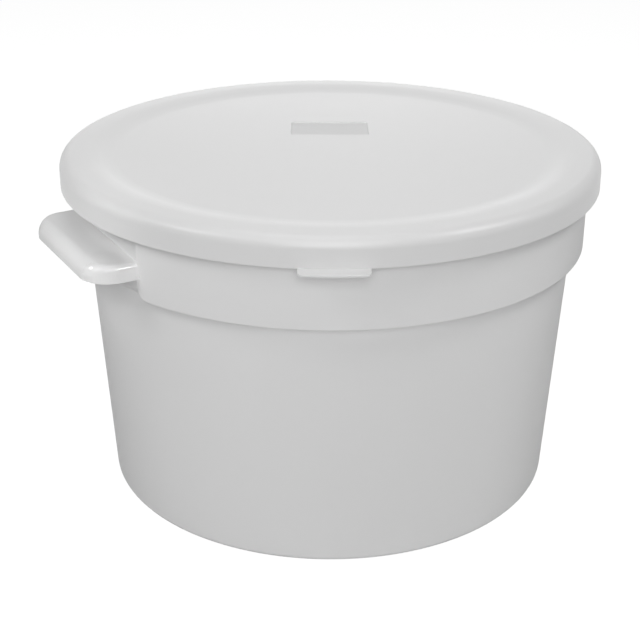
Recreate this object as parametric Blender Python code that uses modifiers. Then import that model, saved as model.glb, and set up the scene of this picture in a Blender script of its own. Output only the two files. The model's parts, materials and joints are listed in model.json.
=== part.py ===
# Round food storage container: a moulded tub with a handle on each side, and a lid that
# closes over its rim. Metres, +Z up. The origin is the middle of the base, on the surface
# that the tub stands on, and the two handles lie along X.

import math

import bmesh
import bpy
from mathutils import Matrix, Vector

# Tub: the wall and the floor
WALL_THICKNESS = 0.003
FLOOR_THICKNESS = 0.0035
BASE_RADIUS = 0.1696
WALL_FLARE = 0.0121
WALL_HEIGHT = 0.1873
BASE_ROUNDING = 0.0055
FOOT_WIDTH = 0.012
FOOT_DEPTH = 0.0012

# Tub: the wider collar above the wall
COLLAR_STEP = 0.009
COLLAR_FLARE = 0.0007
COLLAR_HEIGHT = 0.0644
COLLAR_EDGE_ROUNDING = 0.0017
LEDGE_ROUNDING = 0.0015

# Tub: the turned-over rim at the top of the collar
RIM_OVERHANG = 0.0056
RIM_LIP_DEPTH = 0.007
RIM_THICKNESS = 0.0025
RIM_ROOT_ROUNDING = 0.001

# Tub: the flat in the collar behind each handle
FLAT_RECESS = 0.0005
FLAT_BELOW_RIM = 0.0107
FLAT_RUN_DOWN = 0.012

# Handles, each a ledge that is hollow from below
HANDLE_LENGTH = 0.125
HANDLE_REACH = 0.0331
HANDLE_HEIGHT = 0.0122
HANDLE_BELOW_RIM = 0.0365
HANDLE_THICKNESS = 0.003
HANDLE_CORNER_RADIUS = 0.0215
HANDLE_EDGE_RADIUS = 0.010
HANDLE_END_RADIUS = 0.0036
HANDLE_BACK_THICKNESS = 0.0015

# Lid: the shell that closes over the rim
LID_CLEARANCE = 0.0003
LID_THICKNESS = 0.0025
LID_SKIRT_DEPTH = 0.0208
LID_EDGE_ROUNDING = 0.0082
SKIRT_FOOT_ROUNDING = 0.0005

# Lid: the sunken panel inside the raised band
BAND_WIDTH = 0.0235
BAND_SLOPE = 0.005
PANEL_SINK = 0.0025
PANEL_ROUNDING = 0.004

# Lid: the ring below that centres it inside the rim
RING_THICKNESS = 0.002
RING_DEPTH = 0.0065
RING_FOOT_ROUNDING = 0.0006

# Lid: the label recess in the panel, and the tab that lifts the lid
LABEL_LENGTH = 0.060
LABEL_WIDTH = 0.035
LABEL_DEPTH = 0.0008
LABEL_CORNER_RADIUS = 0.0015
LABEL_FROM_MIDDLE = 0.0515
TAB_WIDTH = 0.0463
TAB_REACH = 0.011
TAB_THICKNESS = 0.0016
TAB_CORNER_RADIUS = 0.005
TAB_SEAT = 0.0005
TAB_ANGLE = math.radians(-118.5)

# How far cutters and joined pieces run past the faces that they meet, and how close points
# count as one
OVERRUN = 0.005
JOIN_DEPTH = 0.0012
MERGE_DISTANCE = 0.00001

# Counts
STEPS_AROUND = 72
CORNER_SEGMENTS = 6
TAB_EDGE_STEPS = 5

# Longest step along an arc of a turned outline, and the angle above which an edge is sharp
ARC_STEP = 0.0028
SHARP_ANGLE = math.radians(32)

# Colour and roughness of the two plastics
TUB_COLOUR = (0.76, 0.76, 0.76, 1.0)
LID_COLOUR = (0.80, 0.80, 0.80, 1.0)
TUB_ROUGHNESS = 0.38
LID_ROUGHNESS = 0.42

# Radii and heights that follow from the sizes above
WALL_TOP_RADIUS = BASE_RADIUS + WALL_FLARE
COLLAR_RADIUS = WALL_TOP_RADIUS + COLLAR_STEP
COLLAR_TOP_RADIUS = COLLAR_RADIUS + COLLAR_FLARE
RIM_HEIGHT = WALL_HEIGHT + COLLAR_HEIGHT
RIM_RADIUS = COLLAR_TOP_RADIUS + RIM_OVERHANG
RIM_BORE_RADIUS = COLLAR_TOP_RADIUS - WALL_THICKNESS
LID_BORE_RADIUS = RIM_RADIUS + LID_CLEARANCE
LID_RADIUS = LID_BORE_RADIUS + LID_THICKNESS
LID_CEILING = RIM_HEIGHT + LID_CLEARANCE
LID_HEIGHT = LID_CEILING + LID_THICKNESS
SKIRT_FOOT = LID_HEIGHT - LID_SKIRT_DEPTH
LID_CEILING_ROUNDING = LID_EDGE_ROUNDING - LID_THICKNESS
RIM_ROUNDING = LID_CEILING_ROUNDING - LID_CLEARANCE
PANEL_HEIGHT = LID_HEIGHT - PANEL_SINK
PANEL_RADIUS = LID_RADIUS - BAND_WIDTH - BAND_SLOPE
FLAT_DISTANCE = WALL_TOP_RADIUS - FLAT_RECESS
FLAT_TOP = RIM_HEIGHT - FLAT_BELOW_RIM
FLAT_BOTTOM = WALL_HEIGHT - FLAT_RUN_DOWN
HANDLE_TOP = RIM_HEIGHT - HANDLE_BELOW_RIM
HANDLE_BOTTOM = HANDLE_TOP - HANDLE_HEIGHT


def clear_scene():
    for thing in list(bpy.data.objects):
        bpy.data.objects.remove(thing, do_unlink=True)


def new_collection(name):
    collection = bpy.data.collections.new(name)
    bpy.context.scene.collection.children.link(collection)
    return collection


def add_object(name, mesh, collection):
    thing = bpy.data.objects.new(name, mesh)
    collection.objects.link(thing)
    return thing


def add_cutter(name, mesh, collection):
    """A solid that only cuts or joins: drawn as wire and left out of the part."""
    cutter = add_object(name, mesh, collection)
    cutter.display_type = "WIRE"
    cutter.hide_render = True
    return cutter


def plastic(name, colour, roughness):
    material = bpy.data.materials.new(name)
    material.use_nodes = True
    shader = material.node_tree.nodes["Principled BSDF"]
    shader.inputs["Base Color"].default_value = colour
    shader.inputs["Roughness"].default_value = roughness
    shader.inputs["Metallic"].default_value = 0.0
    material.diffuse_color = colour
    return material


def rounded(corners):
    """Turns (radius, height, rounding) corners into an outline with an arc at each corner."""
    outline = []
    for index, (radius, height, rounding) in enumerate(corners):
        corner = Vector((radius, height))
        if rounding == 0:
            outline.append(corner)
            continue
        before = (Vector(corners[index - 1][:2]) - corner).normalized()
        after = (Vector(corners[index + 1][:2]) - corner).normalized()
        half_turn = before.angle(after) / 2
        centre = corner + (before + after).normalized() * rounding / math.sin(half_turn)
        first = corner + before * rounding / math.tan(half_turn) - centre
        last = corner + after * rounding / math.tan(half_turn) - centre
        turn = first.angle_signed(last)
        steps = max(2, math.ceil(abs(turn) * rounding / ARC_STEP))
        for step in range(steps + 1):
            outline.append(centre + Matrix.Rotation(-turn * step / steps, 2) @ first)
    return outline


def turned_mesh(name, corners):
    """A mesh of edges along a rounded outline in the XZ plane, for a Screw to turn."""
    mesh = bpy.data.meshes.new(name)
    bm = bmesh.new()
    points = [bm.verts.new((point.x, 0, point.y)) for point in rounded(corners)]
    for start, end in zip(points, points[1:]):
        bm.edges.new((start, end))
    bm.to_mesh(mesh)
    bm.free()
    return mesh


def add_screw(thing):
    screw = thing.modifiers.new("turn", "SCREW")
    screw.axis = "Z"
    screw.angle = math.tau
    screw.steps = STEPS_AROUND
    screw.render_steps = STEPS_AROUND
    screw.use_merge_vertices = True
    screw.merge_threshold = MERGE_DISTANCE


def add_mirror(thing):
    mirror = thing.modifiers.new("other side", "MIRROR")
    mirror.use_axis = (True, False, False)
    mirror.merge_threshold = MERGE_DISTANCE


def add_boolean(thing, other, operation):
    boolean = thing.modifiers.new(f"{operation} {other.name}".lower(), "BOOLEAN")
    boolean.object = other
    boolean.operation = operation
    boolean.solver = "EXACT"


def block_mesh(name, low, high, upright_radius=0):
    """A block between two corners, with its upright edges rounded."""
    mesh = bpy.data.meshes.new(name)
    bm = bmesh.new()
    bmesh.ops.create_cube(bm, size=1)
    size = Vector(high) - Vector(low)
    middle = (Vector(high) + Vector(low)) / 2
    bmesh.ops.scale(bm, vec=size, verts=bm.verts)
    bmesh.ops.translate(bm, vec=middle, verts=bm.verts)
    if upright_radius:
        bmesh.ops.bevel(
            bm,
            geom=[edge for edge in bm.edges if is_upright(edge)],
            offset=upright_radius,
            offset_type="OFFSET",
            segments=CORNER_SEGMENTS,
            profile=0.5,
            affect="EDGES",
            clamp_overlap=True,
            material=-1,
        )
    bm.to_mesh(mesh)
    bm.free()
    return mesh


def is_upright(edge):
    start, end = (vert.co for vert in edge.verts)
    return abs(start.z - end.z) > max(abs(start.x - end.x), abs(start.y - end.y))


def lofted_mesh(name, loops):
    """A closed form through outlines that lie one above the other, with flat ends."""
    mesh = bpy.data.meshes.new(name)
    bm = bmesh.new()
    rings = []
    for loop in loops:
        points = [bm.verts.new(place) for place in loop]
        rings.append([bm.edges.new(pair) for pair in zip(points, points[1:] + points[:1])])
    for lower, upper in zip(rings, rings[1:]):
        bmesh.ops.bridge_loops(bm, edges=lower + upper)
    for ring in (rings[0], rings[-1]):
        bmesh.ops.edgeloop_fill(bm, edges=ring)
    bmesh.ops.recalc_face_normals(bm, faces=bm.faces)
    bm.to_mesh(mesh)
    bm.free()
    return mesh


def tub_outside():
    """The outer form of the tub, solid, from the rim down to the foot."""
    foot_radius = BASE_RADIUS - FOOT_WIDTH
    lip_bore = RIM_RADIUS - RIM_THICKNESS
    return [
        (0, RIM_HEIGHT, 0),
        (RIM_RADIUS, RIM_HEIGHT, RIM_ROUNDING),
        (RIM_RADIUS, RIM_HEIGHT - RIM_LIP_DEPTH, 0),
        (lip_bore, RIM_HEIGHT - RIM_LIP_DEPTH, 0),
        (lip_bore, RIM_HEIGHT - RIM_THICKNESS, RIM_ROOT_ROUNDING),
        (COLLAR_TOP_RADIUS, RIM_HEIGHT - RIM_THICKNESS, RIM_ROOT_ROUNDING),
        (COLLAR_RADIUS, WALL_HEIGHT, COLLAR_EDGE_ROUNDING),
        (WALL_TOP_RADIUS, WALL_HEIGHT, LEDGE_ROUNDING),
        (BASE_RADIUS, 0, BASE_ROUNDING),
        (foot_radius, 0, 0),
        (foot_radius - FOOT_DEPTH, FOOT_DEPTH, 0),
        (0, FOOT_DEPTH, 0),
    ]


def tub_inside():
    """The hollow of the tub, from above the rim down to the floor."""
    ledge = WALL_HEIGHT + WALL_THICKNESS
    ledge_radius = WALL_TOP_RADIUS - WALL_THICKNESS
    return [
        (0, RIM_HEIGHT + OVERRUN, 0),
        (RIM_BORE_RADIUS, RIM_HEIGHT + OVERRUN, 0),
        (RIM_BORE_RADIUS, RIM_HEIGHT, 0),
        (COLLAR_RADIUS - WALL_THICKNESS, ledge, LEDGE_ROUNDING),
        (ledge_radius, ledge, COLLAR_EDGE_ROUNDING),
        (BASE_RADIUS - WALL_THICKNESS, FLOOR_THICKNESS, BASE_ROUNDING),
        (0, FLOOR_THICKNESS, 0),
    ]


def lid_section():
    """The lid's section, from the middle of the panel out over the band, down the skirt,
    and back underneath to the middle."""
    ring_radius = RIM_BORE_RADIUS - LID_CLEARANCE
    ring_bore = ring_radius - RING_THICKNESS
    ring_foot = LID_CEILING - RING_DEPTH
    return [
        (0, PANEL_HEIGHT, 0),
        (PANEL_RADIUS, PANEL_HEIGHT, PANEL_ROUNDING),
        (PANEL_RADIUS + BAND_SLOPE, LID_HEIGHT, PANEL_ROUNDING),
        (LID_RADIUS, LID_HEIGHT, LID_EDGE_ROUNDING),
        (LID_RADIUS, SKIRT_FOOT, SKIRT_FOOT_ROUNDING),
        (LID_BORE_RADIUS, SKIRT_FOOT, SKIRT_FOOT_ROUNDING),
        (LID_BORE_RADIUS, LID_CEILING, LID_CEILING_ROUNDING),
        (ring_radius, LID_CEILING, 0),
        (ring_radius, ring_foot, RING_FOOT_ROUNDING),
        (ring_bore, ring_foot, RING_FOOT_ROUNDING),
        (ring_bore, LID_CEILING, 0),
        (PANEL_RADIUS + BAND_SLOPE, LID_CEILING, 0),
        (PANEL_RADIUS, PANEL_HEIGHT - LID_THICKNESS, 0),
        (0, PANEL_HEIGHT - LID_THICKNESS, 0),
    ]


def make_tub(parts, cutters):
    tub = add_object("container_body", turned_mesh("container_body", tub_outside()), parts)
    add_screw(tub)

    far = RIM_RADIUS + OVERRUN
    flat_low = (FLAT_DISTANCE, -COLLAR_RADIUS / 2, FLAT_BOTTOM)
    flat_high = (far, COLLAR_RADIUS / 2, FLAT_TOP)
    flats = add_cutter("flats_outside", block_mesh("flats_outside", flat_low, flat_high), cutters)
    add_mirror(flats)
    add_boolean(tub, flats, "DIFFERENCE")

    hollow = add_cutter("hollow", turned_mesh("hollow", tub_inside()), cutters)
    add_screw(hollow)
    inner_low = (FLAT_DISTANCE - WALL_THICKNESS, -COLLAR_RADIUS / 2, FLAT_BOTTOM)
    inner_high = (far, COLLAR_RADIUS / 2, FLAT_TOP + WALL_THICKNESS)
    inner = add_cutter("flats_inside", block_mesh("flats_inside", inner_low, inner_high), cutters)
    add_mirror(inner)
    add_boolean(hollow, inner, "DIFFERENCE")
    add_boolean(tub, hollow, "DIFFERENCE")

    blank = handle_mesh("handle_blanks", FLAT_DISTANCE - JOIN_DEPTH, HANDLE_BOTTOM, 0)
    handles = add_cutter("handle_blanks", blank, cutters)
    add_mirror(handles)
    add_boolean(tub, handles, "UNION")
    back = FLAT_DISTANCE + HANDLE_BACK_THICKNESS
    space = handle_mesh("handle_hollows", back, HANDLE_BOTTOM - OVERRUN, HANDLE_THICKNESS)
    hollows = add_cutter("handle_hollows", space, cutters)
    add_mirror(hollows)
    add_boolean(tub, hollows, "DIFFERENCE")
    return tub


def handle_mesh(name, back, foot, skin):
    """The form of a handle from back outward and from foot up, as far inside the handle's
    surface as skin says. Its top edge is rounder along the outer side than at the ends."""
    outer = FLAT_DISTANCE + HANDLE_REACH - skin
    side = HANDLE_LENGTH / 2 - skin
    corner = HANDLE_CORNER_RADIUS - skin
    loops = []
    for level in range(-1, CORNER_SEGMENTS + 1):
        tilt = math.pi / 2 * max(level, 0) / CORNER_SEGMENTS
        half = []
        for step in range(CORNER_SEGMENTS + 1):
            turn = math.pi / 2 * step / CORNER_SEGMENTS
            end_share = math.sin(turn) ** 2
            rounding = HANDLE_EDGE_RADIUS * (1 - end_share) + HANDLE_END_RADIUS * end_share - skin
            radius = corner - rounding * (1 - math.cos(tilt))
            x = outer - corner + radius * math.cos(turn)
            y = side - corner + radius * math.sin(turn)
            z = foot if level < 0 else HANDLE_TOP - skin - rounding * (1 - math.sin(tilt))
            half.append(Vector((x, y, z)))
        half.append(Vector((back, half[-1].y, half[-1].z)))
        loops.append(half[::-1] + [Vector((place.x, -place.y, place.z)) for place in half])
    return lofted_mesh(name, loops)


def tab_outline():
    """The lifting tab seen from above, pointing along +X: its outer edge follows the lid."""
    outer = LID_RADIUS + TAB_REACH
    half = TAB_WIDTH / 2
    corner_radial = outer - TAB_CORNER_RADIUS
    corner_side = half - TAB_CORNER_RADIUS
    corner_angle = math.asin(corner_side / corner_radial)
    corner = Vector((corner_radial * math.cos(corner_angle), corner_side))
    inner = LID_BORE_RADIUS
    side = []
    for step in range(CORNER_SEGMENTS + 1):
        angle = corner_angle + (math.pi / 2 - corner_angle) * step / CORNER_SEGMENTS
        side.append(corner + TAB_CORNER_RADIUS * Vector((math.cos(angle), math.sin(angle))))
    edge = []
    for step in range(1, TAB_EDGE_STEPS):
        angle = corner_angle * (2 * step / TAB_EDGE_STEPS - 1)
        edge.append(outer * Vector((math.cos(angle), math.sin(angle))))
    mirrored = [Vector((point.x, -point.y)) for point in side]
    reach_in = Vector((inner, half))
    return [Vector((inner, -half))] + mirrored[::-1] + edge + side + [reach_in]


def tab_mesh():
    """The tab as a flat plate under the foot of the skirt, joined to it by a small overlap."""
    curve = bpy.data.curves.new("tab_outline", "CURVE")
    curve.dimensions = "2D"
    curve.fill_mode = "BOTH"
    curve.extrude = TAB_THICKNESS / 2
    outline = tab_outline()
    spline = curve.splines.new("POLY")
    spline.points.add(len(outline) - 1)
    for point, place in zip(spline.points, outline):
        point.co = (place.x, place.y, 0, 1)
    spline.use_cyclic_u = True
    guide = bpy.data.objects.new("tab_outline", curve)
    bpy.context.scene.collection.objects.link(guide)
    bpy.context.view_layer.update()
    mesh = bpy.data.meshes.new_from_object(guide.evaluated_get(bpy.context.evaluated_depsgraph_get()))
    bpy.data.objects.remove(guide, do_unlink=True)
    bm = bmesh.new()
    bm.from_mesh(mesh)
    bmesh.ops.remove_doubles(bm, verts=bm.verts, dist=MERGE_DISTANCE)
    bmesh.ops.recalc_face_normals(bm, faces=bm.faces)
    middle = SKIRT_FOOT + TAB_SEAT - TAB_THICKNESS / 2
    bmesh.ops.translate(bm, vec=(0, 0, middle), verts=bm.verts)
    bmesh.ops.rotate(bm, cent=(0, 0, 0), matrix=Matrix.Rotation(TAB_ANGLE, 3, "Z"), verts=bm.verts)
    bm.to_mesh(mesh)
    bm.free()
    return mesh


def label_mesh():
    """The block that sinks the label recess, on the far side of the middle from the tab."""
    low = (-LABEL_FROM_MIDDLE - LABEL_WIDTH / 2, -LABEL_LENGTH / 2, PANEL_HEIGHT - LABEL_DEPTH)
    high = (-LABEL_FROM_MIDDLE + LABEL_WIDTH / 2, LABEL_LENGTH / 2, PANEL_HEIGHT + OVERRUN)
    mesh = block_mesh("label_recess", low, high, LABEL_CORNER_RADIUS)
    mesh.transform(Matrix.Rotation(TAB_ANGLE, 4, "Z"))
    return mesh


def make_lid(parts, cutters):
    lid = add_object("lid", turned_mesh("lid", lid_section()), parts)
    add_screw(lid)
    add_boolean(lid, add_cutter("tab", tab_mesh(), cutters), "UNION")
    add_boolean(lid, add_cutter("label_recess", label_mesh(), cutters), "DIFFERENCE")
    return lid


def finish(thing, material):
    """Keeps the turned and cut form as the object's own mesh, smooth but for its sharp edges."""
    bpy.context.view_layer.update()
    profile = thing.data
    mesh = bpy.data.meshes.new_from_object(thing.evaluated_get(bpy.context.evaluated_depsgraph_get()))
    thing.modifiers.clear()
    thing.data = mesh
    bpy.data.meshes.remove(profile)
    mesh.name = thing.name
    mesh.shade_smooth()
    mesh.set_sharp_from_angle(angle=SHARP_ANGLE)
    mesh.materials.clear()
    mesh.materials.append(material)


def main():
    clear_scene()
    parts = new_collection("round_food_storage_container")
    cutters = new_collection("cutters")
    finish(make_tub(parts, cutters), plastic("tub_plastic", TUB_COLOUR, TUB_ROUGHNESS))
    finish(make_lid(parts, cutters), plastic("lid_plastic", LID_COLOUR, LID_ROUGHNESS))


main()
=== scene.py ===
import json
import math

import bmesh
import bpy
from bpy.props import (
    FloatProperty,
    FloatVectorProperty,
    PointerProperty,
)
from bpy.types import Operator, Panel, PropertyGroup
from mathutils import Matrix, Vector

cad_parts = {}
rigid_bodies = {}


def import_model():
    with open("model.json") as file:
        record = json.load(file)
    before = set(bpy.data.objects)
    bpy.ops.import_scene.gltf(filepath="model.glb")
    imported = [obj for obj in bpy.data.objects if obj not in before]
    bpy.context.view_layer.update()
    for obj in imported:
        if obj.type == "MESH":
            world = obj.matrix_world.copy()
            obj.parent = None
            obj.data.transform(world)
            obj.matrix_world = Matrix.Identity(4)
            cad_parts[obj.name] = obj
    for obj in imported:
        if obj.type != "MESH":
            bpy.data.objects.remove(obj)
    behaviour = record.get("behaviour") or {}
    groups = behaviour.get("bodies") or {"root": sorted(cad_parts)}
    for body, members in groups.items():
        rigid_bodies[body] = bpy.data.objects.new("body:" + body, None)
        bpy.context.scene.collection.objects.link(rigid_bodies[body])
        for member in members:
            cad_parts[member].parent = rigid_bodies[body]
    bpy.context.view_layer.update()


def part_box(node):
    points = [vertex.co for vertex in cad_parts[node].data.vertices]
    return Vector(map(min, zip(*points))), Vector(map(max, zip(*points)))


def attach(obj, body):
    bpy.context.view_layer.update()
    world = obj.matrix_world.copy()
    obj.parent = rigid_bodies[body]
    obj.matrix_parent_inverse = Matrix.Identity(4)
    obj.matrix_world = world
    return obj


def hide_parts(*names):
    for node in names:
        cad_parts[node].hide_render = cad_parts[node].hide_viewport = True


bl_info = {
    "name": "Round Food Container",
    "version": (1, 0, 0),
    "blender": (4, 5, 0),
    "location": "3D View > Sidebar > Food Container",
    "description": "Makes a moulded tub with ledge handles, its press-on lid and a pale studio",
    "category": "Add Mesh",
}

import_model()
_, TUB_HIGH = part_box("container_body")
_, LID_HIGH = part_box("lid")

# The fitted camera: degrees from the -Y axis round to it, its angle above the floor, its roll,
# the height of the point on the axis that it looks at, lens in mm and shifts
CAMERA_AZIMUTH = -29.3
CAMERA_ELEVATION = 22.3409
CAMERA_ROLL = math.radians(0.3187)
CAMERA_AIM = (0, 0, 0.1444)
LENS = 78.44
SENSOR_WIDTH = 36
SHIFT_X, SHIFT_Y = -0.01517, -0.0615

# Where the lamps are aimed: the middle of the tub, the far part of the lid's panel, two places
# on the left handle's upper face, and that handle's near corner
MIDDLE = (0, 0, 0.15)
BACK_OF_LID = (0.064, 0.113, 0.252)
HANDLE_TOP = (-0.196, -0.015, 0.214)
HANDLE_TOP_FAR = (-0.198, -0.008, 0.214)
NEAR_CORNER = (-0.200, -0.057, 0.2127)

# How far off the softboxes, the lamp close over the lid and the spots stand, and the radius of
# a spot's bulb
SOFTBOX_DISTANCE = 2.1
CLOSE_DISTANCE = 0.5
SPOT_DISTANCE = 0.9
SPOT_RADIUS = 0.04

# Softboxes: name, (azimuth, elevation) in degrees, the azimuth round from the camera's, watts
# at a strength of 1, and (width, depth)
SOFTBOXES = (
    ("front", (0, 24), 17.4, (1.3, 1.3)),
    ("overhead", (-150, 76), 7.5, (1.5, 1.5)),
    ("left", (-62, 42), 8.2, (0.8, 0.8)),
    ("left_low", (-95, 25), 2.6, (0.8, 0.8)),
    ("right", (75, 48), 9.8, (0.8, 0.8)),
    ("right_low", (95, 25), 1.8, (0.8, 0.8)),
)

# Spots on the left handle: name, place, watts, cone in degrees and aim
SPOTS = (
    ("handle_spot", (-12, 37), 4.6, 7, HANDLE_TOP),
    ("handle_low_spot", (-8, 19), 8, 5, HANDLE_TOP_FAR),
)

# Lamps that only show as highlights, on everything and on the tub alone: name, place, watts,
# (width, depth), aim and distance
GLOSS_LAMPS = (
    ("front_glint", (0, 49), 7, (1.4, 0.3), MIDDLE, SOFTBOX_DISTANCE),
    ("top_glint", (0, 84), 2.0, (0.6, 0.6), MIDDLE, SOFTBOX_DISTANCE),
    ("back_glint", (180, 46), 4, (1.4, 1.7), MIDDLE, SOFTBOX_DISTANCE),
    ("back_low_glint", (180, 10.5), 0.6, (1.6, 0.34), MIDDLE, SOFTBOX_DISTANCE),
    ("lid_glint", (180, 12), 0.19, (0.9, 0.07), BACK_OF_LID, CLOSE_DISTANCE),
)
TUB_GLOSS_LAMPS = (
    ("left_glint", (-99, 37), 11, (0.4, 0.4), NEAR_CORNER, SOFTBOX_DISTANCE),
    ("right_glint", (46, 23), 34, (0.7, 0.24), NEAR_CORNER, SOFTBOX_DISTANCE),
)

# Points closer than this are one point
MERGE_DISTANCE = 0.00001

# Edges that turn more than this stay sharp
TUB_SHARP_ANGLE = math.radians(14)
LID_SHARP_ANGLE = math.radians(22)

# The tub's floor: height and radius of the recess underneath, inner radius of the foot ring
# round it, height of the floor's top, and the rounding at the wall's foot
FOOT_RECESS = 0.0012
RECESS_RADIUS = 0.1564
FOOT_RING_RADIUS = 0.1576
FLOOR_HEIGHT = 0.0035
BASE_ROUNDING = 0.0055

# The tub's ledge: its roundings, in the hollow corner and on the edge
LEDGE_HOLLOW = 0.0015
LEDGE_EDGE = 0.0017

# Rows of points up the tub: heights on the wall, depths under the ledge, the step of the
# closer rows just below it, and the first height and the step of the rows on the collar
WALL_ROWS = (0.03, 0.06, 0.09, 0.12, 0.15)
ROWS_UNDER_LEDGE = (0.032, 0.022, 0.0165)
CLOSE_ROW_STEP = 0.0022
COLLAR_ROW_START = 0.0045
COLLAR_ROW_STEP = 0.0046

# The tub's rim: set-back and depth of the lip, its roundings, and the rows of points under it
# where the collar's flats end, outside and inside
LIP_BACK = 0.0025
LIP_DEPTH = 0.007
LIP_ROUNDING = 0.0003
NECK_ROUNDING = 0.001
RIM_ROUNDING = 0.0054
MOUTH_ROUNDING = 0.0008
FLAT_END_ROWS = (0.0115, 0.0107)
INNER_FLAT_END_ROWS = (0.0071, 0.0079)

# Steps of the tub's turn as (degrees, steps): closest at the crease, where a flat runs out into
# the round collar, and even over the rest of the flat and of the round part
STEPS_TO_CREASE = (
    (1.5, 1),
    (1.1, 1),
    (0.8, 1),
    (0.6, 1),
    (0.5, 1),
    (0.4, 1),
    (0.6, 2),
    (0.3, 1),
    (0.2, 1),
)
STEPS_FROM_CREASE = (
    (0.3, 3),
    (0.9, 5),
    (0.5, 2),
    (0.7, 2),
    (0.9, 2),
    (1.1, 2),
    (1.4, 2),
    (1.7, 2),
)
STEPS_ON_FLAT = 10
STEPS_ON_ROUND = 32

# The collar's flats reach from this far below the ledge to this far below the rim. The rise of
# their end corners fades out over CORNER_FADE, up to CORNER_FADE_TOP above the ledge
FLAT_BELOW_LEDGE = 0.012
FLAT_BELOW_RIM = 0.011
CORNER_FADE_TOP = 0.0275
CORNER_FADE = 0.025

# The handles: corner radius, roundings of the outer side and of the ends, draft of the ends,
# depth sunk into the flat, and for the space under them its distance from the flat, its reach
# down from the handle's top and the handle's wall
HANDLE_CORNER = 0.0215
HANDLE_SIDE_ROUNDING = 0.010
HANDLE_END_ROUNDING = 0.0036
HANDLE_DRAFT = 0.0012
HANDLE_SUNK = 0.0012
HANDLE_ROOT = 0.0015
HANDLE_SPACE_DEPTH = 0.0172
HANDLE_WALL = 0.003

# The swell on the left handle: its middle, height, radius, and how many rows of points to each
# side of the middle
SWELL_MIDDLE = Vector((-0.1985, -0.0415, 0))
SWELL_RISE = 0.0008
SWELL_RADIUS = 0.013
SWELL_ROWS = 9

# The lid: steps of its turn, width and rounding of the slope between panel and band, rounding
# of the skirt's foot, and radii, depth and rounding of the centring ring underneath
LID_STEPS = 240
SLOPE_WIDTH = 0.012
SLOPE_ROUNDING = 0.05
SKIRT_FOOT_ROUNDING = 0.0005
RING_OUTER = 0.1881
RING_INNER = 0.1861
RING_DEPTH = 0.0065
RING_ROUNDING = 0.0006

# The lid's tab: its overlap with the skirt, corner radius, thickness and edge rounding
TAB_OVERLAP = 0.0005
TAB_CORNER = 0.005
TAB_THICKNESS = 0.0016
TAB_EDGE_ROUNDING = 0.0004

# The label field: distance of its middle from the axis, its depth, height of the block that
# sinks it, and roundings of the block's corners and foot
LABEL_DISTANCE = 0.0515
LABEL_DEPTH = 0.0008
BLOCK_HEIGHT = 0.006
LABEL_CORNER = 0.0015
LABEL_FOOT_ROUNDING = 0.0006

# The tub's surface: how much rougher it is seen edge on, and for the rubbed handles how far
# from the flat that starts, over what width, and how much smoother they are
EDGE_MATT = 0.5
RUBBED_START = 0.0005
RUBBED_WIDTH = 0.002
RUBBED_SHINE = 0.16


class TubSizes(PropertyGroup):
    """Sizes of the tub, its collar, rim and handles."""

    base_radius: FloatProperty(
        name="Base Radius",
        description="Radius of the wall at the surface that the tub stands on",
        default=0.1696,
        min=0.05,
        unit="LENGTH",
    )
    wall_top_radius: FloatProperty(
        name="Wall Top Radius",
        description="Radius of the wall just below the collar",
        default=0.1817,
        min=0.05,
        unit="LENGTH",
    )
    wall_height: FloatProperty(
        name="Wall Height",
        description="Height of the ledge where the collar starts",
        default=0.1873,
        min=0.02,
        unit="LENGTH",
    )
    collar_radius: FloatProperty(
        name="Collar Radius",
        description="Radius of the collar at its lower edge",
        default=0.1907,
        min=0.05,
        unit="LENGTH",
    )
    collar_top_radius: FloatProperty(
        name="Collar Top Radius",
        description="Radius of the collar below the rim",
        default=0.1914,
        min=0.05,
        unit="LENGTH",
    )
    rim_radius: FloatProperty(
        name="Rim Radius",
        description="Radius of the turned-over rim",
        default=0.1970,
        min=0.05,
        unit="LENGTH",
    )
    rim_height: FloatProperty(
        name="Rim Height",
        description="Height of the top of the rim",
        default=TUB_HIGH.z,
        min=0.05,
        unit="LENGTH",
    )
    wall_thickness: FloatProperty(
        name="Wall Thickness",
        description="Thickness of the wall and the collar",
        default=0.003,
        min=0.0005,
        unit="LENGTH",
    )
    flat_distance: FloatProperty(
        name="Flat Distance",
        description="Distance from the axis of the flat in the collar behind each handle",
        default=0.1812,
        min=0.05,
        unit="LENGTH",
    )
    end_corner: FloatProperty(
        name="Collar End Corner",
        description="Radius of the collar's lower corner beside each flat",
        default=0.008,
        min=0.0,
        unit="LENGTH",
    )
    handle_tip: FloatProperty(
        name="Handle Tip",
        description="Distance from the axis to the outer side of a handle",
        default=TUB_HIGH.x,
        min=0.05,
        unit="LENGTH",
    )
    handle_length: FloatProperty(
        name="Handle Length",
        description="Length of a handle along the tub",
        default=0.125,
        min=0.02,
        unit="LENGTH",
    )
    handle_top: FloatProperty(
        name="Handle Top",
        description="Height of a handle's upper face",
        default=0.2152,
        min=0.02,
        unit="LENGTH",
    )
    handle_height: FloatProperty(
        name="Handle Height",
        description="Depth of a handle from its upper face to its lower edge",
        default=0.0122,
        min=0.002,
        unit="LENGTH",
    )


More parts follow.
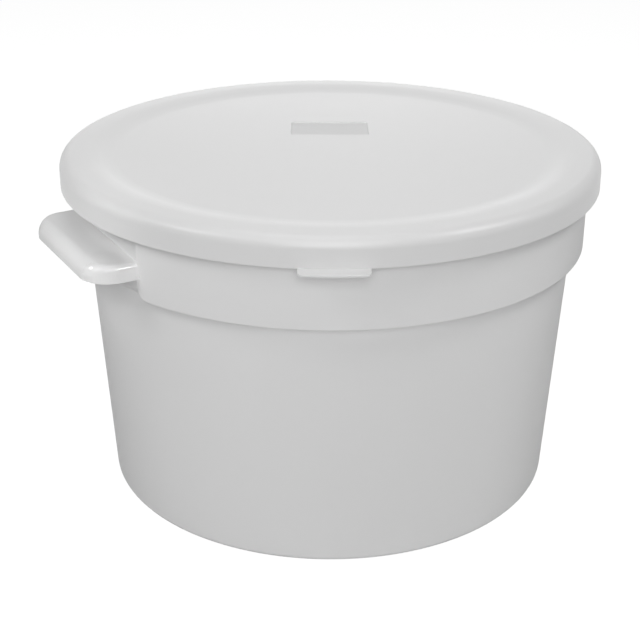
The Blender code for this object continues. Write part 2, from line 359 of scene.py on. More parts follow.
class LidSizes(PropertyGroup):
    """Sizes of the lid, its band, label field and tab."""

    radius: FloatProperty(
        name="Lid Radius",
        description="Outer radius of the lid",
        default=LID_HIGH.x,
        min=0.05,
        unit="LENGTH",
    )
    height: FloatProperty(
        name="Lid Height",
        description="Height of the top of the raised band",
        default=LID_HIGH.z,
        min=0.02,
        unit="LENGTH",
    )
    skirt_depth: FloatProperty(
        name="Skirt Depth",
        description="Depth of the skirt below the top of the band",
        default=0.0208,
        min=0.002,
        unit="LENGTH",
    )
    thickness: FloatProperty(
        name="Lid Thickness",
        description="Thickness of the panel, the band and the skirt",
        default=0.0025,
        min=0.0005,
        unit="LENGTH",
    )
    edge_rounding: FloatProperty(
        name="Edge Rounding",
        description="Radius of the lid's upper outer edge",
        default=0.0082,
        min=0.001,
        unit="LENGTH",
    )
    band_width: FloatProperty(
        name="Band Width",
        description="Width of the raised band from the lid's edge to its inner slope",
        default=0.0235,
        min=0.005,
        unit="LENGTH",
    )
    panel_sink: FloatProperty(
        name="Panel Sink",
        description="Depth of the panel below the band",
        default=0.0025,
        min=0.0,
        unit="LENGTH",
    )
    label_length: FloatProperty(
        name="Label Length",
        description="Length of the label field",
        default=0.060,
        min=0.005,
        unit="LENGTH",
    )
    label_width: FloatProperty(
        name="Label Width",
        description="Width of the label field",
        default=0.035,
        min=0.005,
        unit="LENGTH",
    )
    tab_width: FloatProperty(
        name="Tab Width",
        description="Width of the lifting tab",
        default=0.0463,
        min=0.005,
        unit="LENGTH",
    )
    tab_reach: FloatProperty(
        name="Tab Reach",
        description="How far the tab stands out from the skirt",
        default=0.011,
        min=0.001,
        unit="LENGTH",
    )
    tab_angle: FloatProperty(
        name="Tab Angle",
        description="Direction of the tab, from the right handle",
        default=math.radians(-118.5),
        unit="ROTATION",
    )


class PlasticLooks(PropertyGroup):
    """Colours and surface of the two white plastics."""

    tub_colour: FloatVectorProperty(
        name="Tub Colour",
        description="Colour of the tub's plastic",
        subtype="COLOR",
        default=(0.80, 0.80, 0.80),
        min=0.0,
        max=1.0,
    )
    lid_colour: FloatVectorProperty(
        name="Lid Colour",
        description="Colour of the lid's plastic",
        subtype="COLOR",
        default=(0.76, 0.76, 0.76),
        min=0.0,
        max=1.0,
    )
    tub_roughness: FloatProperty(
        name="Tub Roughness",
        description="Roughness of the tub's surface",
        default=0.32,
        min=0.0,
        max=1.0,
        subtype="FACTOR",
    )
    lid_roughness: FloatProperty(
        name="Lid Roughness",
        description="Roughness of the lid's surface",
        default=0.32,
        min=0.0,
        max=1.0,
        subtype="FACTOR",
    )


class StudioLooks(PropertyGroup):
    """Camera distance and the strength of the lights."""

    camera_distance: FloatProperty(
        name="Camera Distance",
        description="Distance from the camera to the point it looks at",
        default=1.08283,
        min=0.2,
        unit="LENGTH",
    )
    sky_strength: FloatProperty(
        name="Sky Strength",
        description="Strength of the light from all round",
        default=0.02,
        min=0.0,
    )
    lamp_strength: FloatProperty(
        name="Lamp Strength",
        description="Factor on the power of every lamp",
        default=1.07,
        min=0.0,
    )


def draw_outline(bm, corners, segments):
    """Edges in the XZ plane through (radius, height, rounding) corners, each corner rounded."""
    points = [bm.verts.new((radius, 0, height)) for radius, height, _ in corners]
    for start, end in zip(points, points[1:]):
        bm.edges.new((start, end))
    for index, (radius, height, rounding) in enumerate(corners):
        if rounding == 0:
            continue
        corner = Vector((radius, height))
        before = Vector(corners[index - 1][:2]) - corner
        after = Vector(corners[index + 1][:2]) - corner
        bmesh.ops.bevel(
            bm,
            geom=[points[index]],
            offset=rounding / math.tan(before.angle(after) / 2),
            offset_type="OFFSET",
            segments=segments,
            profile=0.5,
            affect="VERTICES",
            material=-1,
        )


def turn_outline(bm, sectors):
    """Spins the outline round Z through (degrees, steps) sectors that make up a whole turn."""
    turned = bm.verts[:] + bm.edges[:]
    for degrees, steps in sectors:
        spun = bmesh.ops.spin(
            bm,
            geom=turned,
            cent=(0, 0, 0),
            axis=(0, 0, 1),
            angle=math.radians(degrees),
            steps=steps,
            use_merge=degrees == 360,
        )
        turned = spun["geom_last"]
    bmesh.ops.remove_doubles(bm, verts=bm.verts, dist=MERGE_DISTANCE)
    bmesh.ops.dissolve_degenerate(bm, edges=bm.edges, dist=MERGE_DISTANCE / 2)
    bmesh.ops.recalc_face_normals(bm, faces=bm.faces)


def add_piece(name, bm, material=None):
    """An object at the origin with the built mesh."""
    mesh = bpy.data.meshes.new(name)
    bm.to_mesh(mesh)
    bm.free()
    piece = bpy.data.objects.new(name, mesh)
    bpy.context.scene.collection.objects.link(piece)
    if material:
        mesh.materials.append(material)
    return piece


def join_or_cut(piece, tools):
    """Joins or cuts the piece with each (operation, object) and keeps the result as its mesh."""
    for operation, tool in tools:
        boolean = piece.modifiers.new(operation.lower(), "BOOLEAN")
        boolean.object = tool
        boolean.operation = operation
        boolean.solver = "EXACT"
    bpy.context.view_layer.update()
    before = piece.data
    evaluated = piece.evaluated_get(bpy.context.evaluated_depsgraph_get())
    mesh = bpy.data.meshes.new_from_object(evaluated)
    piece.modifiers.clear()
    piece.data = mesh
    mesh.name = before.name
    bpy.data.meshes.remove(before)
    for _, tool in tools:
        form = tool.data
        bpy.data.objects.remove(tool, do_unlink=True)
        bpy.data.meshes.remove(form)


def shade(piece, sharp_angle):
    """Smooth but for sharp edges, with large faces kept flat beside the roundings."""
    piece.data.shade_smooth()
    piece.data.set_sharp_from_angle(angle=sharp_angle)
    weighted = piece.modifiers.new("weighted normals", "WEIGHTED_NORMAL")
    weighted.mode = "FACE_AREA"
    weighted.weight = 50
    weighted.keep_sharp = True


def tub_corners(sizes):
    """The tub's section as (radius, height, rounding), from the middle of the underside out
    and up to the rim, then down the inside to the middle of the floor."""
    wall = sizes.wall_thickness
    rim = sizes.rim_height
    lip = sizes.rim_radius - LIP_BACK
    ledge = sizes.wall_height
    slope = (sizes.wall_top_radius - sizes.base_radius) / ledge
    flare = (sizes.collar_top_radius - sizes.collar_radius) / (rim - ledge)
    rows_below = [*WALL_ROWS, *(ledge - depth for depth in ROWS_UNDER_LEDGE)]
    rows_below += [ledge - CLOSE_ROW_STEP * step for step in range(6, 0, -1)]
    rows_above = [ledge + COLLAR_ROW_START + COLLAR_ROW_STEP * step for step in range(6)]
    outside = [
        (0, FOOT_RECESS, 0),
        (RECESS_RADIUS, FOOT_RECESS, 0),
        (FOOT_RING_RADIUS, 0, 0),
        (sizes.base_radius, 0, BASE_ROUNDING),
    ]
    outside += [(sizes.base_radius + slope * height, height, 0) for height in rows_below]
    outside += [
        (sizes.wall_top_radius, ledge, LEDGE_HOLLOW),
        (sizes.collar_radius, ledge, LEDGE_EDGE),
    ]
    for height in rows_above + [rim - depth for depth in FLAT_END_ROWS]:
        outside.append((sizes.collar_radius + flare * (height - ledge), height, 0))
    outside += [
        (sizes.collar_top_radius, rim - LIP_BACK, NECK_ROUNDING),
        (lip, rim - LIP_BACK, NECK_ROUNDING),
        (lip, rim - LIP_DEPTH, LIP_ROUNDING),
        (sizes.rim_radius, rim - LIP_DEPTH, LIP_ROUNDING),
        (sizes.rim_radius, rim, RIM_ROUNDING),
    ]
    inside = [(sizes.collar_top_radius - wall, rim, MOUTH_ROUNDING)]
    for height in [rim - depth for depth in INNER_FLAT_END_ROWS]:
        inside.append((sizes.collar_radius + flare * (height - ledge) - wall, height, 0))
    for height in rows_above[::-1]:
        inside.append((sizes.collar_radius + flare * (height - ledge) - wall, height + wall, 0))
    inside += [
        (sizes.collar_radius - wall, ledge + wall, LEDGE_HOLLOW),
        (sizes.wall_top_radius - wall, ledge + wall, LEDGE_EDGE),
    ]
    for height in rows_below[::-1]:
        inside.append((sizes.base_radius + slope * height - wall, height + wall, 0))
    inside += [(sizes.base_radius - wall, FLOOR_HEIGHT, BASE_ROUNDING), (0, FLOOR_HEIGHT, 0)]
    return outside + inside


def flatten_sides(bm, sizes):
    """Presses the collar flat behind both handles and rounds the collar's lower end corners."""
    wall = sizes.wall_thickness
    ledge = sizes.wall_height
    ledge_middle = ledge + wall / 2
    bottom, top = ledge - FLAT_BELOW_LEDGE, sizes.rim_height - FLAT_BELOW_RIM
    crease = math.acos(sizes.flat_distance / sizes.collar_radius)
    outer, inner = [], []
    for vert in bm.verts:
        radius = math.hypot(vert.co.x, vert.co.y)
        low = vert.co.z < ledge_middle
        middle = (sizes.wall_top_radius if low else sizes.collar_radius) - wall / 2
        # The wall leans in under the ledge, so its outside starts 1 mm farther in
        is_outside = radius > middle - (0.001 if low else 0)
        if is_outside and bottom < vert.co.z < top:
            outer.append(vert)
        elif not is_outside and bottom + wall < vert.co.z < top + wall:
            inner.append(vert)

    for vert in outer:
        radius = math.hypot(vert.co.x, vert.co.y)
        azimuth = math.atan2(abs(vert.co.y), abs(vert.co.x))
        past = min(max((azimuth - crease) * radius, 0), sizes.end_corner)
        rise = sizes.end_corner - math.sqrt(
            sizes.end_corner**2 - (sizes.end_corner - past) ** 2
        )
        step = sizes.collar_radius - sizes.wall_top_radius
        across = min(max((radius - sizes.wall_top_radius) / step, 0), 1)
        above = min(max((ledge + CORNER_FADE_TOP - vert.co.z) / CORNER_FADE, 0), 1)
        vert.co.z += rise * across * above

    for verts, distance in ((outer, sizes.flat_distance), (inner, sizes.flat_distance - wall)):
        chosen = set(verts)
        for side in (1, -1):
            faces = [face for face in bm.faces if all(vert in chosen for vert in face.verts)]
            edges = {edge for face in faces for edge in face.edges}
            near = {vert for face in faces for vert in face.verts}
            cut = bmesh.ops.bisect_plane(
                bm,
                geom=faces + list(edges) + list(near),
                dist=MERGE_DISTANCE / 10,
                plane_co=(side * distance, 0, 0),
                plane_no=(1, 0, 0),
            )
            chosen.update(item for item in cut["geom_cut"] if isinstance(item, bmesh.types.BMVert))
        for vert in chosen:
            if abs(vert.co.x) > distance:
                vert.co.x = math.copysign(distance, vert.co.x)
    bmesh.ops.dissolve_degenerate(bm, edges=bm.edges, dist=MERGE_DISTANCE)


def handle_form(sizes, back, foot, skin):
    """The form of a handle from back outward and from foot up, as far inside the handle's
    surface as skin says: outlines one above the other, bridged. The ends draft inward."""
    bm = bmesh.new()
    count = 10
    outer = sizes.handle_tip - skin
    side = sizes.handle_length / 2 - skin
    corner = HANDLE_CORNER - skin
    top = sizes.handle_top - skin
    rings = []
    for level in range(-1, count + 1):
        tilt = math.pi / 2 * max(level, 0) / count
        half = []
        for step in range(count + 1):
            turn = math.pi / 2 * step / count
            end_share = math.sin(turn) ** 2
            rounding = HANDLE_SIDE_ROUNDING * (1 - end_share)
            rounding += HANDLE_END_ROUNDING * end_share - skin
            radius = corner - rounding * (1 - math.cos(tilt))
            height = foot if level < 0 else top - rounding * (1 - math.sin(tilt))
            above = max(height - (top - sizes.handle_height), 0)
            draft = HANDLE_DRAFT * above / sizes.handle_height
            half.append(
                (
                    outer - corner + radius * math.cos(turn),
                    side - corner + radius * math.sin(turn) - draft * end_share,
                    height,
                )
            )
        half.append((back, half[-1][1], half[-1][2]))
        loop = half[::-1] + [(x, -y, z) for x, y, z in half]
        points = [bm.verts.new(place) for place in loop]
        rings.append([bm.edges.new(pair) for pair in zip(points, points[1:] + points[:1])])
    for lower, upper in zip(rings, rings[1:]):
        bmesh.ops.bridge_loops(bm, edges=lower + upper)
    for ring in (rings[0], rings[-1]):
        bmesh.ops.edgeloop_fill(bm, edges=ring)
    bmesh.ops.recalc_face_normals(bm, faces=bm.faces)
    return bm


def with_other_side(bm):
    """Adds the form's mirror image across the YZ plane as a second closed shell."""
    copy = bmesh.ops.duplicate(bm, geom=bm.verts[:] + bm.edges[:] + bm.faces[:])["geom"]
    verts = [item for item in copy if isinstance(item, bmesh.types.BMVert)]
    faces = [item for item in copy if isinstance(item, bmesh.types.BMFace)]
    bmesh.ops.scale(bm, vec=(-1, 1, 1), verts=verts)
    bmesh.ops.reverse_faces(bm, faces=faces)
    return bm


def swell_corner(bm, sizes):
    """Raises the near end of the left handle's upper face into a low swell with a soft edge.
    Its faces that look up are first cut into a fine grid."""
    lowest = sizes.handle_top - HANDLE_SIDE_ROUNDING - MERGE_DISTANCE
    for across in (Vector((1, 0, 0)), Vector((0, 1, 0))):
        for step in range(-SWELL_ROWS, SWELL_ROWS + 1):
            faces = [
                face
                for face in bm.faces
                if face.calc_center_median().x < 0 and face.normal.z > 0.02
            ]
            edges = {edge for face in faces for edge in face.edges}
            verts = {vert for face in faces for vert in face.verts}
            bmesh.ops.bisect_plane(
                bm,
                geom=faces + list(edges) + list(verts),
                dist=MERGE_DISTANCE / 10,
                plane_co=SWELL_MIDDLE + across * (SWELL_RADIUS * step / SWELL_ROWS),
                plane_no=across,
            )
    for vert in bm.verts:
        away = math.hypot(vert.co.x - SWELL_MIDDLE.x, vert.co.y - SWELL_MIDDLE.y) / SWELL_RADIUS
        if away < 1 and vert.co.z > lowest:
            vert.co.z += SWELL_RISE * (1 - away**2) ** 2
    bmesh.ops.recalc_face_normals(bm, faces=bm.faces)
    return bm


def make_tub(sizes, material):
    """The tub: its turned shell, pressed flat at the sides, with both handles joined on."""
    bm = bmesh.new()
    draw_outline(bm, tub_corners(sizes), segments=6)
    crease = math.degrees(math.acos(sizes.flat_distance / sizes.collar_radius))
    before = sum(degrees for degrees, _ in STEPS_TO_CREASE)
    after = sum(degrees for degrees, _ in STEPS_FROM_CREASE)
    quarter = [
        (crease - before, STEPS_ON_FLAT),
        *STEPS_TO_CREASE,
        *STEPS_FROM_CREASE,
        (90 - crease - after, STEPS_ON_ROUND),
    ]
    turn_outline(bm, quarter + quarter[::-1] + quarter + quarter[::-1])
    flatten_sides(bm, sizes)
    tub = add_piece("tub", bm, material)

    foot = sizes.handle_top - sizes.handle_height
    blanks = handle_form(sizes, sizes.flat_distance - HANDLE_SUNK, foot, 0)
    foot = sizes.handle_top - HANDLE_SPACE_DEPTH
    spaces = handle_form(sizes, sizes.flat_distance + HANDLE_ROOT, foot, HANDLE_WALL)
    join_or_cut(
        tub,
        [
            ("UNION", add_piece("handle_blanks", swell_corner(with_other_side(blanks), sizes))),
            ("DIFFERENCE", add_piece("handle_spaces", with_other_side(spaces))),
        ],
    )
    shade(tub, TUB_SHARP_ANGLE)
    return tub


def lid_corners(sizes):
    """The lid's section as (radius, height, rounding), from the middle of the panel out over
    the band, down the skirt, and back underneath to the middle."""
    bore = sizes.radius - sizes.thickness
    ceiling = sizes.height - sizes.thickness
    foot = sizes.height - sizes.skirt_depth
    panel = sizes.height - sizes.panel_sink
    band = sizes.radius - sizes.band_width
    edge = band - SLOPE_WIDTH
    return [
        (0, panel, 0),
        (edge, panel, SLOPE_ROUNDING),
        (band, sizes.height, SLOPE_ROUNDING),
        (sizes.radius, sizes.height, sizes.edge_rounding),
        (sizes.radius, foot, SKIRT_FOOT_ROUNDING),
        (bore, foot, SKIRT_FOOT_ROUNDING),
        (bore, ceiling, sizes.edge_rounding - sizes.thickness),
        (RING_OUTER, ceiling, 0),
        (RING_OUTER, ceiling - RING_DEPTH, RING_ROUNDING),
        (RING_INNER, ceiling - RING_DEPTH, RING_ROUNDING),
        (RING_INNER, ceiling, 0),
        (band, ceiling, 0),
        (edge, panel - sizes.thickness, 0),
        (0, panel - sizes.thickness, 0),
    ]


def tab_form(sizes):
    """The tab: a plate under the foot of the skirt, joined to it by a small overlap."""
    outer = sizes.radius + sizes.tab_reach
    inner = sizes.radius - sizes.thickness
    half = sizes.tab_width / 2
    top = sizes.height - sizes.skirt_depth + TAB_OVERLAP
    bm = bmesh.new()
    reach = math.asin(half / outer)
    start = bm.verts.new((outer * math.cos(reach), -half, top))
    spun = bmesh.ops.spin(
        bm,
        geom=[start],
        cent=(0, 0, 0),
        axis=(0, 0, 1),
        angle=2 * reach,
        steps=12,
    )
    end = spun["geom_last"][0]
    back = [bm.verts.new((inner, half, top)), bm.verts.new((inner, -half, top))]
    for pair in ((end, back[0]), back, (back[1], start)):
        bm.edges.new(pair)
    bmesh.ops.bevel(
        bm,
        geom=[start, end],
        offset=TAB_CORNER,
        offset_type="OFFSET",
        segments=8,
        profile=0.5,
        affect="VERTICES",
        material=-1,
    )
    plate = bmesh.ops.edgeloop_fill(bm, edges=bm.edges)["faces"]
    bmesh.ops.extrude_face_region(bm, geom=plate)
    lower = [vert for face in plate for vert in face.verts]
    bmesh.ops.translate(bm, vec=(0, 0, -TAB_THICKNESS), verts=lower)
    bmesh.ops.recalc_face_normals(bm, faces=bm.faces)
    rims = [
        edge
        for edge in bm.edges
        if abs(edge.verts[0].co.z - edge.verts[1].co.z) < MERGE_DISTANCE
        and min(vert.co.x for vert in edge.verts) > inner + MERGE_DISTANCE
    ]
    bmesh.ops.bevel(
        bm,
        geom=rims,
        offset=TAB_EDGE_ROUNDING,
        offset_type="OFFSET",
        segments=3,
        profile=0.5,
        affect="EDGES",
        clamp_overlap=True,
        material=-1,
    )
    turn = Matrix.Rotation(sizes.tab_angle, 3, "Z")
    bmesh.ops.rotate(bm, cent=(0, 0, 0), matrix=turn, verts=bm.verts)
    return bm


def label_form(sizes):
    """The block that sinks the label field, with its upright edges and its foot rounded. Its
    faces carry the lid's second material, so the field is as matt as the photograph's."""
    panel = sizes.height - sizes.panel_sink
    bm = bmesh.new()
    bmesh.ops.create_cube(bm, size=1)
    block = (sizes.label_width, sizes.label_length, BLOCK_HEIGHT)
    bmesh.ops.scale(bm, vec=block, verts=bm.verts)
    upright = [
        edge for edge in bm.edges if abs(edge.verts[0].co.z - edge.verts[1].co.z) > MERGE_DISTANCE
    ]
    bmesh.ops.bevel(
        bm,
        geom=upright,
        offset=LABEL_CORNER,
        offset_type="OFFSET",
        segments=6,
        profile=0.5,
        affect="EDGES",
        material=-1,
    )
    low = MERGE_DISTANCE - BLOCK_HEIGHT / 2
    foot = [edge for edge in bm.edges if all(vert.co.z < low for vert in edge.verts)]
    bmesh.ops.bevel(
        bm,
        geom=foot,
        offset=LABEL_FOOT_ROUNDING,
        offset_type="OFFSET",
        segments=4,
        profile=0.5,
        affect="EDGES",
        clamp_overlap=True,
        material=-1,
    )
    for face in bm.faces:
        face.material_index = 1
    place = (-LABEL_DISTANCE, 0, panel - LABEL_DEPTH + BLOCK_HEIGHT / 2)
    bmesh.ops.translate(bm, vec=place, verts=bm.verts)
    turn = Matrix.Rotation(sizes.tab_angle, 3, "Z")
    bmesh.ops.rotate(bm, cent=(0, 0, 0), matrix=turn, verts=bm.verts)
    return bm


def make_lid(sizes, material, label_material):
    """The lid: its turned shell with the tab joined on and the label field sunk in."""
    bm = bmesh.new()
    draw_outline(bm, lid_corners(sizes), segments=8)
    turn_outline(bm, [(360, LID_STEPS)])
    lid = add_piece("lid_shell", bm, material)
    lid.data.materials.append(label_material)
    join_or_cut(
        lid,
        [
            ("UNION", add_piece("tab_blank", tab_form(sizes))),
            ("DIFFERENCE", add_piece("label_blank", label_form(sizes))),
        ],
    )
    shade(lid, LID_SHARP_ANGLE)
    return lid


def socket(tree, direction, name, kind, default=None):
    """A new input or output of a node group."""
    made = tree.interface.new_socket(name, in_out=direction, socket_type=kind)
    if default is not None:
        made.default_value = default
    return made


def moulded_surface_group():
    """Colour, roughness and height of a moulded plastic: soft clouding, fine grain, scuffs."""
    name = "Moulded Surface"
    if name in bpy.data.node_groups:
        return bpy.data.node_groups[name]
    tree = bpy.data.node_groups.new(name, "ShaderNodeTree")
    socket(tree, "INPUT", "Colour", "NodeSocketColor", (0.8, 0.8, 0.8, 1))
    socket(tree, "INPUT", "Clouding", "NodeSocketFloat", 0.02)
    socket(tree, "INPUT", "Roughness", "NodeSocketFloat", 0.35)
    socket(tree, "INPUT", "Grain Scale", "NodeSocketFloat", 900.0)
    socket(tree, "INPUT", "Scuffs", "NodeSocketFloat", 0.1)
    socket(tree, "OUTPUT", "Colour", "NodeSocketColor")
    socket(tree, "OUTPUT", "Roughness", "NodeSocketFloat")
    socket(tree, "OUTPUT", "Height", "NodeSocketFloat")
    nodes, links = tree.nodes, tree.links
    given = nodes.new("NodeGroupInput")
    result = nodes.new("NodeGroupOutput")
    place = nodes.new("ShaderNodeTexCoord")

    cloud = nodes.new("ShaderNodeTexNoise")
    cloud.inputs["Scale"].default_value = 14.0
    cloud.inputs["Detail"].default_value = 3.0
    links.new(place.outputs["Object"], cloud.inputs["Vector"])
    spread = nodes.new("ShaderNodeMath")
    spread.operation = "SUBTRACT"
    spread.inputs[1].default_value = 0.5
    links.new(cloud.outputs["Fac"], spread.inputs[0])
    amount = nodes.new("ShaderNodeMath")
    amount.operation = "MULTIPLY_ADD"
    amount.inputs[2].default_value = 1.0
    links.new(spread.outputs[0], amount.inputs[0])
    links.new(given.outputs["Clouding"], amount.inputs[1])
    tint = nodes.new("ShaderNodeVectorMath")
    tint.operation = "SCALE"
    links.new(given.outputs["Colour"], tint.inputs[0])
    links.new(amount.outputs[0], tint.inputs["Scale"])
    links.new(tint.outputs[0], result.inputs["Colour"])

    grain = nodes.new("ShaderNodeTexNoise")
    grain.inputs["Detail"].default_value = 2.0
    links.new(place.outputs["Object"], grain.inputs["Vector"])
    links.new(given.outputs["Grain Scale"], grain.inputs["Scale"])
    stretch = nodes.new("ShaderNodeMapping")
    stretch.inputs["Scale"].default_value = (40.0, 40.0, 400.0)
    stretch.inputs["Rotation"].default_value = (0.35, 0.2, 0.6)
    links.new(place.outputs["Object"], stretch.inputs["Vector"])
    rub = nodes.new("ShaderNodeTexNoise")
    rub.inputs["Scale"].default_value = 1.0
    rub.inputs["Detail"].default_value = 4.0
    rub.inputs["Distortion"].default_value = 0.6
    links.new(stretch.outputs[0], rub.inputs["Vector"])
    few = nodes.new("ShaderNodeMapRange")
    few.inputs["From Min"].default_value = 0.60
    few.inputs["From Max"].default_value = 0.78
    links.new(rub.outputs["Fac"], few.inputs["Value"])
    wear = nodes.new("ShaderNodeMath")
    wear.operation = "MULTIPLY_ADD"
    links.new(few.outputs["Result"], wear.inputs[0])
    links.new(given.outputs["Scuffs"], wear.inputs[1])
    links.new(given.outputs["Roughness"], wear.inputs[2])
    uneven = nodes.new("ShaderNodeMath")
    uneven.operation = "MULTIPLY_ADD"
    uneven.inputs[1].default_value = 0.06
    links.new(spread.outputs[0], uneven.inputs[0])
    links.new(wear.outputs[0], uneven.inputs[2])
    links.new(uneven.outputs[0], result.inputs["Roughness"])
    relief = nodes.new("ShaderNodeMath")
    relief.operation = "MULTIPLY_ADD"
    relief.inputs[1].default_value = -0.06
    links.new(few.outputs["Result"], relief.inputs[0])
    links.new(grain.outputs["Fac"], relief.inputs[2])
    links.new(relief.outputs[0], result.inputs["Height"])
    return tree


def plastic(name, colour, roughness, gloss, grain_scale, scuffs, edge_matt=0.0, rubbed_from=1.0):
    """White polyethylene: satin, with a fine moulded grain, rougher seen edge on, and smoother
    where it is rubbed, farther than rubbed_from to either side of the middle."""
    material = bpy.data.materials.new(name)
    material.use_nodes = True
    nodes, links = material.node_tree.nodes, material.node_tree.links
    shader = nodes["Principled BSDF"]
    surface = nodes.new("ShaderNodeGroup")
    surface.node_tree = moulded_surface_group()
    surface.inputs["Colour"].default_value = (*colour, 1)
    surface.inputs["Roughness"].default_value = roughness
    surface.inputs["Grain Scale"].default_value = grain_scale
    surface.inputs["Scuffs"].default_value = scuffs
    bump = nodes.new("ShaderNodeBump")
    bump.inputs["Strength"].default_value = 0.25
    bump.inputs["Distance"].default_value = 0.00004
    links.new(surface.outputs["Height"], bump.inputs["Height"])
    links.new(surface.outputs["Colour"], shader.inputs["Base Color"])
    links.new(bump.outputs["Normal"], shader.inputs["Normal"])
    facing = nodes.new("ShaderNodeLayerWeight")
    facing.inputs["Blend"].default_value = 0.5
    matt = nodes.new("ShaderNodeMapRange")
    matt.interpolation_type = "SMOOTHERSTEP"
    matt.inputs["From Min"].default_value = 0.2
    matt.inputs["From Max"].default_value = 0.95
    matt.inputs["To Max"].default_value = edge_matt
    links.new(facing.outputs["Facing"], matt.inputs["Value"])
    total = nodes.new("ShaderNodeMath")
    total.operation = "ADD"
    total.use_clamp = True
    links.new(surface.outputs["Roughness"], total.inputs[0])
    links.new(matt.outputs["Result"], total.inputs[1])
    place = nodes.new("ShaderNodeTexCoord")
    split = nodes.new("ShaderNodeSeparateXYZ")
    links.new(place.outputs["Object"], split.inputs[0])
    away = nodes.new("ShaderNodeMath")
    away.operation = "ABSOLUTE"
    links.new(split.outputs["X"], away.inputs[0])
    polish = nodes.new("ShaderNodeMapRange")
    polish.inputs["From Min"].default_value = rubbed_from
    polish.inputs["From Max"].default_value = rubbed_from + RUBBED_WIDTH
    polish.inputs["To Max"].default_value = -RUBBED_SHINE
    links.new(away.outputs[0], polish.inputs["Value"])
    rubbed = nodes.new("ShaderNodeMath")
    rubbed.operation = "ADD"
    links.new(total.outputs[0], rubbed.inputs[0])
    links.new(polish.outputs["Result"], rubbed.inputs[1])
    links.new(rubbed.outputs[0], shader.inputs["Roughness"])
    shader.inputs["IOR"].default_value = 1.5
    shader.inputs["Specular IOR Level"].default_value = gloss
    material.diffuse_color = (*colour, 1)
    return material


def floor_material(name, white):
    """White where the camera sees it lit, with the object's soft shadow kept."""
    material = bpy.data.materials.new(name)
    material.use_nodes = True
    nodes, links = material.node_tree.nodes, material.node_tree.links
    nodes.clear()
    result = nodes.new("ShaderNodeOutputMaterial")
    pale = nodes.new("ShaderNodeBsdfDiffuse")
    pale.inputs["Color"].default_value = (0.62, 0.62, 0.62, 1)
    seen = nodes.new("ShaderNodeBsdfDiffuse")
    seen.inputs["Color"].default_value = (0.25, 0.25, 0.25, 1)
    glow = nodes.new("ShaderNodeEmission")
    glow.inputs["Strength"].default_value = white
    both = nodes.new("ShaderNodeAddShader")
    links.new(seen.outputs[0], both.inputs[0])
    links.new(glow.outputs[0], both.inputs[1])
    mix = nodes.new("ShaderNodeMixShader")
    links.new(white_rays(nodes, links), mix.inputs[0])
    links.new(pale.outputs[0], mix.inputs[1])
    links.new(both.outputs[0], mix.inputs[2])
    links.new(mix.outputs[0], result.inputs["Surface"])
    return material


def white_rays(nodes, links):
    """1 for camera, glossy and transmission rays, which see the white studio."""
    path = nodes.new("ShaderNodeLightPath")
    total = path.outputs["Is Camera Ray"]
    for other in ("Is Glossy Ray", "Is Transmission Ray"):
        add = nodes.new("ShaderNodeMath")
        add.operation = "ADD"
        add.use_clamp = True
        links.new(total, add.inputs[0])
        links.new(path.outputs[other], add.inputs[1])
        total = add.outputs[0]
    return total


def make_world(strength):
    """A white sky as the camera and reflections see it, and a faint light from all round."""
    world = bpy.data.worlds.new("studio")
    bpy.context.scene.world = world
    world.use_nodes = True
    nodes, links = world.node_tree.nodes, world.node_tree.links
    sky = nodes["Background"]
    sky.inputs["Color"].default_value = (1, 1, 1, 1)
    level = nodes.new("ShaderNodeMapRange")
    level.inputs["To Min"].default_value = strength
    level.inputs["To Max"].default_value = 1.0
    links.new(white_rays(nodes, links), level.inputs["Value"])
    links.new(level.outputs["Result"], sky.inputs["Strength"])


def direction(azimuth, elevation):
    """The way to a point seen from the tub, its azimuth in degrees round from the camera's."""
    turn, rise = math.radians(CAMERA_AZIMUTH + azimuth), math.radians(elevation)
    return Vector(
        (
            math.sin(turn) * math.cos(rise),
            -math.cos(turn) * math.cos(rise),
            math.sin(rise),
        )
    )


def add_lamp(name, kind, aim, way, distance, power):
    """A lamp that shines on aim from the given way and isn't seen itself."""
    light = bpy.data.lights.new(name, kind)
    light.energy = power
    lamp = bpy.data.objects.new(name, light)
    bpy.context.scene.collection.objects.link(lamp)
    lamp.location = Vector(aim) + way * distance
    lamp.rotation_euler = way.to_track_quat("Z", "Y").to_euler()
    lamp.visible_camera = False
    return light


def add_softbox(name, place, power, size, aim, distance):
    """An oval softbox at (azimuth, elevation) of (width, depth)."""
    light = add_lamp(name, "AREA", aim, direction(*place), distance, power)
    light.shape = "ELLIPSE"
    light.size, light.size_y = size


def add_gloss_lamp(name, place, power, size, aim, distance, pieces=()):
    """A softbox that only shows as a highlight, on the given pieces alone if there are any."""
    add_softbox(name, place, power, size, aim, distance)
    lamp = bpy.data.objects[name]
    lamp.visible_diffuse = False
    if pieces:
        lit = bpy.data.collections.new(name + "_lights")
        for piece in pieces:
            lit.objects.link(piece)
        lamp.light_linking.receiver_collection = lit


def add_spot(name, place, power, cone, aim):
    """A soft spot at (azimuth, elevation) with its cone in degrees."""
    light = add_lamp(name, "SPOT", aim, direction(*place), SPOT_DISTANCE, power)
    light.spot_size = math.radians(cone)
    light.spot_blend = 1.0
    light.shadow_soft_size = SPOT_RADIUS


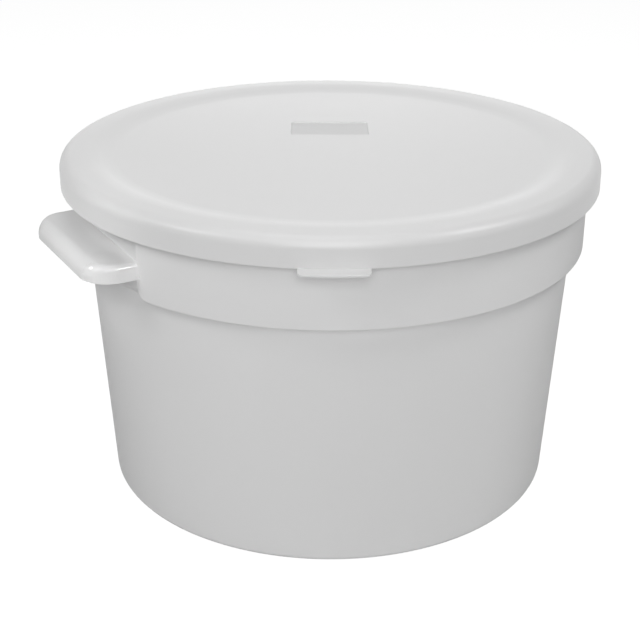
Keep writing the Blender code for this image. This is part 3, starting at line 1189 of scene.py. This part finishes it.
def add_camera(distance):
    """The photograph's view, fitted to its outline: 640 by 640 pixels, slightly rolled."""
    back = direction(0, CAMERA_ELEVATION)
    right = direction(90, 0)
    up = back.cross(right)
    across = math.cos(CAMERA_ROLL) * right + math.sin(CAMERA_ROLL) * up
    upward = math.cos(CAMERA_ROLL) * up - math.sin(CAMERA_ROLL) * right
    camera = bpy.data.objects.new("camera", bpy.data.cameras.new("camera"))
    bpy.context.scene.collection.objects.link(camera)
    turn = Matrix((across, upward, back)).transposed()
    place = Vector(CAMERA_AIM) + back * distance
    camera.matrix_world = Matrix.Translation(place) @ turn.to_4x4()
    camera.data.sensor_width = SENSOR_WIDTH
    camera.data.lens = LENS
    camera.data.shift_x = SHIFT_X
    camera.data.shift_y = SHIFT_Y
    camera.data.clip_end = 20
    bpy.context.scene.camera = camera


class CONTAINER_OT_tub(Operator):
    """Make the tub: floor, wall, collar, rim and both handles"""

    bl_idname = "food_container.tub"
    bl_label = "Make Tub"
    bl_options = {"REGISTER", "UNDO"}

    def execute(self, context):
        looks = context.scene.container_plastic
        sizes = context.scene.container_tub
        surface = plastic(
            "tub_plastic",
            looks.tub_colour,
            looks.tub_roughness,
            gloss=0.35,
            grain_scale=900.0,
            scuffs=0.08,
            edge_matt=EDGE_MATT,
            rubbed_from=sizes.flat_distance + RUBBED_START,
        )
        tub = make_tub(sizes, surface)
        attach(tub, "container")
        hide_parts("container_body")
        return {"FINISHED"}


class CONTAINER_OT_lid(Operator):
    """Make the lid: panel, label field, band, skirt, tab and the ring underneath"""

    bl_idname = "food_container.lid"
    bl_label = "Make Lid"
    bl_options = {"REGISTER", "UNDO"}

    def execute(self, context):
        looks = context.scene.container_plastic
        colour = looks.lid_colour
        surface = plastic(
            "lid_plastic",
            colour,
            looks.lid_roughness,
            gloss=0.4,
            grain_scale=1100.0,
            scuffs=0.06,
        )
        label = plastic("label_plastic", colour, 0.55, gloss=0.35, grain_scale=1600.0, scuffs=0.0)
        lid = make_lid(context.scene.container_lid, surface, label)
        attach(lid, "lid")
        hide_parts("lid")
        return {"FINISHED"}


class CONTAINER_OT_studio(Operator):
    """Make the pale floor, the lamps, the sky and the camera"""

    bl_idname = "food_container.studio"
    bl_label = "Make Studio"
    bl_options = {"REGISTER", "UNDO"}

    def execute(self, context):
        looks = context.scene.container_studio
        bm = bmesh.new()
        bmesh.ops.create_grid(bm, x_segments=1, y_segments=1, size=4)
        floor = add_piece("floor", bm, floor_material("pale_floor", white=0.93))
        make_world(looks.sky_strength)
        strength = looks.lamp_strength
        for name, place, watts, size in SOFTBOXES:
            add_softbox(name, place, watts * strength, size, MIDDLE, SOFTBOX_DISTANCE)
        for name, place, watts, cone, aim in SPOTS:
            add_spot(name, place, watts * strength, cone, aim)
        on_tub = [piece for piece in bpy.data.objects if piece.name == "tub"]
        for lamps, pieces in ((GLOSS_LAMPS, ()), (TUB_GLOSS_LAMPS, on_tub)):
            for name, place, watts, size, aim, distance in lamps:
                add_gloss_lamp(name, place, watts * strength, size, aim, distance, pieces)
        add_camera(looks.camera_distance)
        context.scene.view_settings.view_transform = "Standard"
        return {"FINISHED"}


class CONTAINER_PT_panel(Panel):
    """The container's sizes and looks, and a button for each piece"""

    bl_idname = "CONTAINER_PT_panel"
    bl_label = "Food Container"
    bl_space_type = "VIEW_3D"
    bl_region_type = "UI"
    bl_category = "Food Container"

    def draw(self, context):
        scene = context.scene
        for button, group in (
            ("food_container.tub", scene.container_tub),
            ("food_container.lid", scene.container_lid),
            (None, scene.container_plastic),
            ("food_container.studio", scene.container_studio),
        ):
            box = self.layout.box()
            for name in group.__annotations__:
                box.prop(group, name)
            if button:
                box.operator(button)


CLASSES = (
    TubSizes,
    LidSizes,
    PlasticLooks,
    StudioLooks,
    CONTAINER_OT_tub,
    CONTAINER_OT_lid,
    CONTAINER_OT_studio,
    CONTAINER_PT_panel,
)


def register():
    for item in CLASSES:
        bpy.utils.register_class(item)
    bpy.types.Scene.container_tub = PointerProperty(type=TubSizes)
    bpy.types.Scene.container_lid = PointerProperty(type=LidSizes)
    bpy.types.Scene.container_plastic = PointerProperty(type=PlasticLooks)
    bpy.types.Scene.container_studio = PointerProperty(type=StudioLooks)


def unregister():
    del bpy.types.Scene.container_tub
    del bpy.types.Scene.container_lid
    del bpy.types.Scene.container_plastic
    del bpy.types.Scene.container_studio
    for item in reversed(CLASSES):
        bpy.utils.unregister_class(item)


def main():
    register()
    bpy.ops.food_container.tub()
    bpy.ops.food_container.lid()
    bpy.ops.food_container.studio()


if __name__ == "__main__":
    main()
